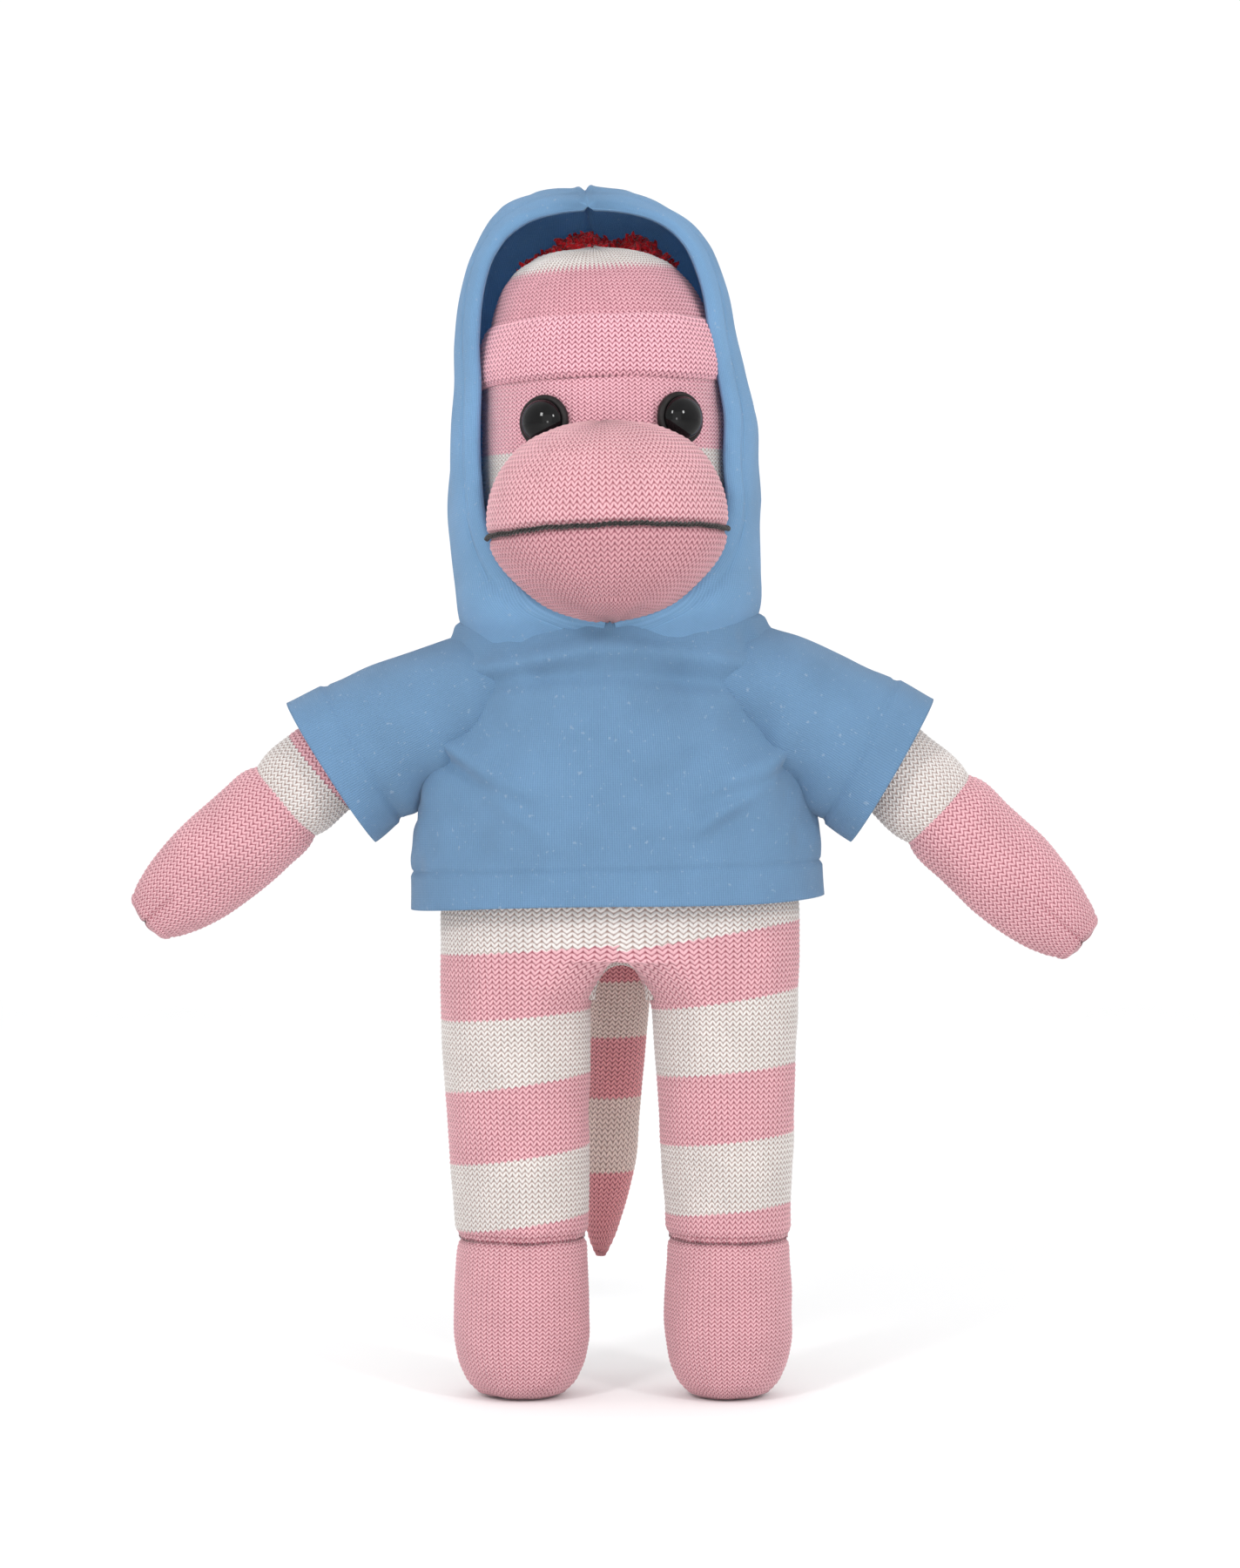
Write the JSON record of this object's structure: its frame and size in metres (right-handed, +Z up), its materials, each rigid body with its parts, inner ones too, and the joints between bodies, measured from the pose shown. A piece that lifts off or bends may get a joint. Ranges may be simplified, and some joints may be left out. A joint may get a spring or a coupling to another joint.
{
  "type": "stuffed monkey",
  "caption": "Soft knitted stuffed monkey with striped limbs, a bulging muzzle, button eyes, a tail and a hooded jersey shirt.",
  "frame": {"origin": "bottom centre of the bounding box, between the feet on the floor", "axes": "+Z up, the toy faces -Y, +X to the viewer's right"},
  "size_m": [0.2392, 0.1004, 0.3046],
  "materials": {
    "jersey": "fine ribbed cotton jersey",
    "filling": "polyester fibre",
    "red_yarn": "loose wool yarn",
    "black_yarn": "twisted yarn",
    "washer_plastic": "moulded",
    "eye_plastic": "glossy",
    "pink_knit": "ribbed sock knit, pink marl",
    "striped_knit": "ribbed sock knit, white and pink"
  },
  "bodies": {
    "torso": {"shirt_back": "jersey", "shirt_front": "jersey", "torso_skin": "striped_knit", "torso_stuffing": "filling"},
    "head": {"cap_crown": "pink_knit", "cap_cuff": "pink_knit", "ear_left": "pink_knit", "ear_right": "pink_knit", "eye_left": "eye_plastic", "eye_right": "eye_plastic", "eye_washer_left": "washer_plastic", "eye_washer_right": "washer_plastic", "head_skin": "pink_knit", "head_stuffing": "filling", "hood_nape": "jersey", "mouth_yarn": "black_yarn", "muzzle_skin": "pink_knit", "muzzle_stuffing": "filling", "pompom": "red_yarn"},
    "hood": {"hood_left": "jersey", "hood_right": "jersey"},
    "arm_left": {"arm_skin_left": "striped_knit", "arm_stuffing_left": "filling", "hand_skin_left": "pink_knit", "sleeve_left": "jersey"},
    "arm_right": {"arm_skin_right": "striped_knit", "arm_stuffing_right": "filling", "hand_skin_right": "pink_knit", "sleeve_right": "jersey"},
    "leg_left": {"foot_skin_left": "pink_knit", "leg_skin_left": "striped_knit", "leg_stuffing_left": "filling"},
    "leg_right": {"foot_skin_right": "pink_knit", "leg_skin_right": "striped_knit", "leg_stuffing_right": "filling"},
    "tail": {"tail_skin": "striped_knit", "tail_stuffing": "filling", "tail_tip_skin": "pink_knit"}
  },
  "joints": [
    {"name": "neck_nod", "type": "hinge", "parent": "torso", "child": "head", "pos_m": [0.00096, 0.0062, 0.19397], "axis": [0.9996, 0, 0.0279], "range_deg": [-15, 5], "stiffness_Nm_per_rad": 0.4},
    {"name": "hood_fold", "type": "hinge", "parent": "head", "child": "hood", "pos_m": [0.00063, 0.0182, 0.20596], "axis": [-0.9996, 0, -0.0279], "range_deg": [0, 60]},
    {"name": "tail_swing", "type": "hinge", "parent": "torso", "child": "tail", "pos_m": [0.00317, 0.0332, 0.115], "axis": [0.9996, 0, 0.0279], "range_deg": [0, 75], "stiffness_Nm_per_rad": 0.03},
    {"name": "shoulder_left", "type": "hinge", "parent": "torso", "child": "arm_left", "pos_m": [-0.03872, 0.0062, 0.18185], "axis": [0, 1, 0], "range_deg": [-8, 80], "stiffness_Nm_per_rad": 0.12},
    {"name": "shoulder_right", "type": "hinge", "parent": "torso", "child": "arm_right", "pos_m": [0.04125, 0.0062, 0.18409], "axis": [0, -1, 0], "range_deg": [-8, 80], "stiffness_Nm_per_rad": 0.12},
    {"name": "hip_left", "type": "hinge", "parent": "torso", "child": "leg_left", "pos_m": [-0.0226, 0.0062, 0.1065], "axis": [-1, 0, 0], "range_deg": [-10, 90], "stiffness_Nm_per_rad": 0.8},
    {"name": "hip_right", "type": "hinge", "parent": "torso", "child": "leg_right", "pos_m": [0.0294, 0.0062, 0.1065], "axis": [-1, 0, 0], "range_deg": [-10, 90], "stiffness_Nm_per_rad": 0.8}
  ]
}
